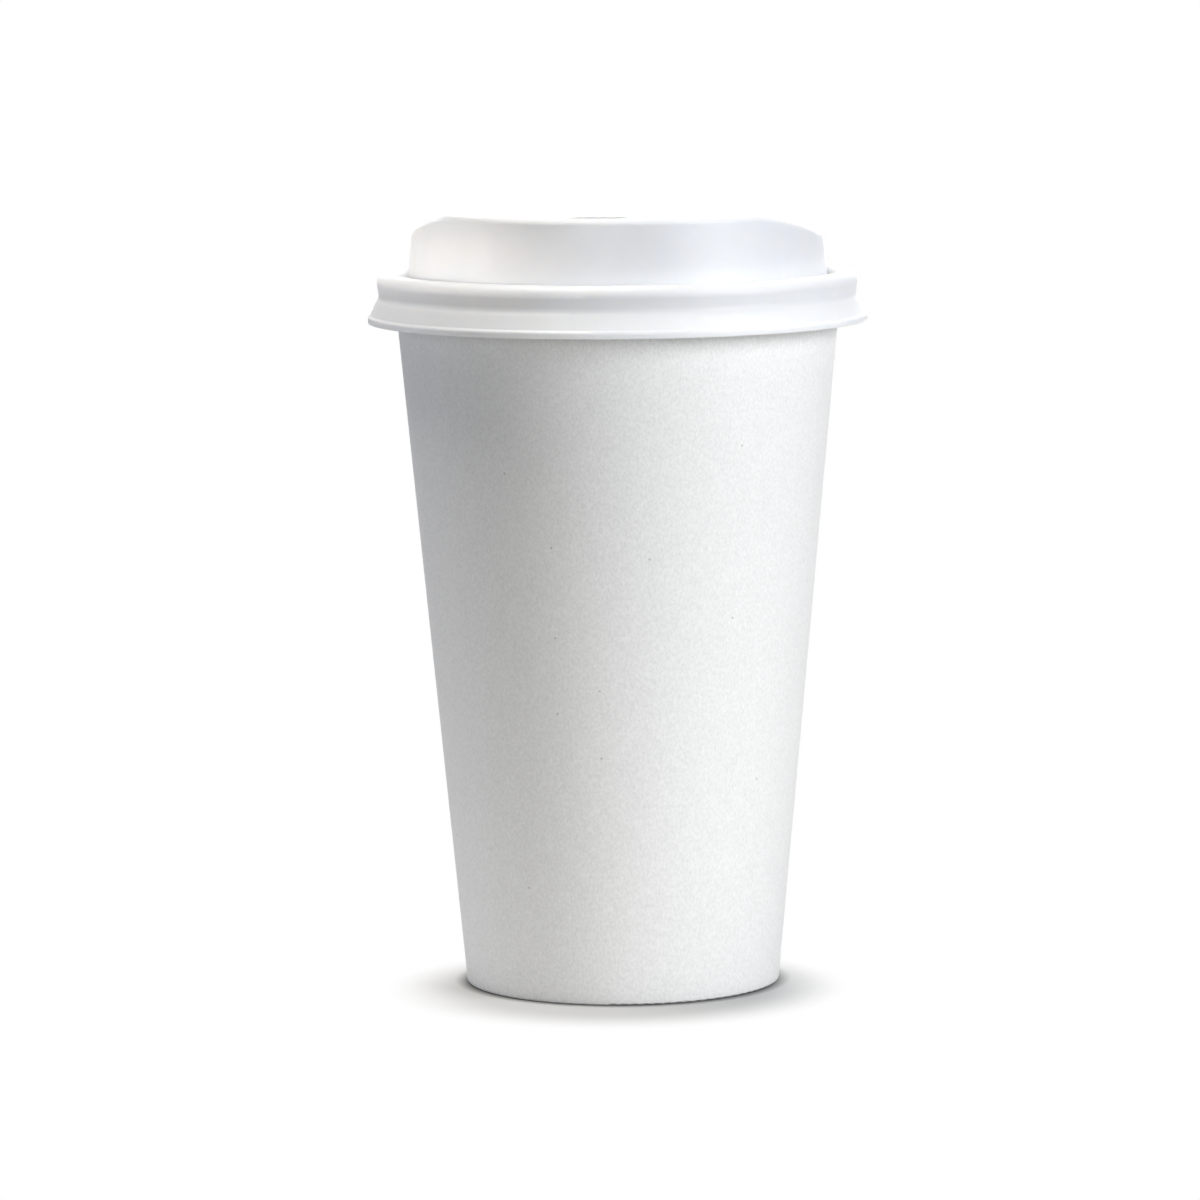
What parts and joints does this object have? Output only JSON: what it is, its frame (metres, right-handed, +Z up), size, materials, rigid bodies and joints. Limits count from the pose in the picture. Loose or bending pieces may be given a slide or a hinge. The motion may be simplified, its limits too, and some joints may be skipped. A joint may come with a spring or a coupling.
{
  "type": "paper coffee cup",
  "caption": "Tapered paper cup with rolled rim, lapped side seam and folded foot, closed by a push-on plastic drinking lid with raised ledge and sunken panel.",
  "frame": {"origin": "centre of the foot on the surface that the cup stands on", "axes": "+Z up the cup's axis, -Y towards the lid's drinking slot, +Y towards the lapped side seam, +X to the right"},
  "size_m": [0.0952, 0.0952, 0.1485],
  "materials": {
    "cup_board": "matte",
    "lid_plastic": "satin"
  },
  "bodies": {
    "cup": {"cup_wall": "cup_board", "cup_base": "cup_board"},
    "lid": {"lid": "lid_plastic"}
  },
  "joints": [
    {"name": "lid_lift", "type": "slide", "parent": "cup", "child": "lid", "axis": [0, 0, 1], "range_m": [0, 0.04]}
  ]
}
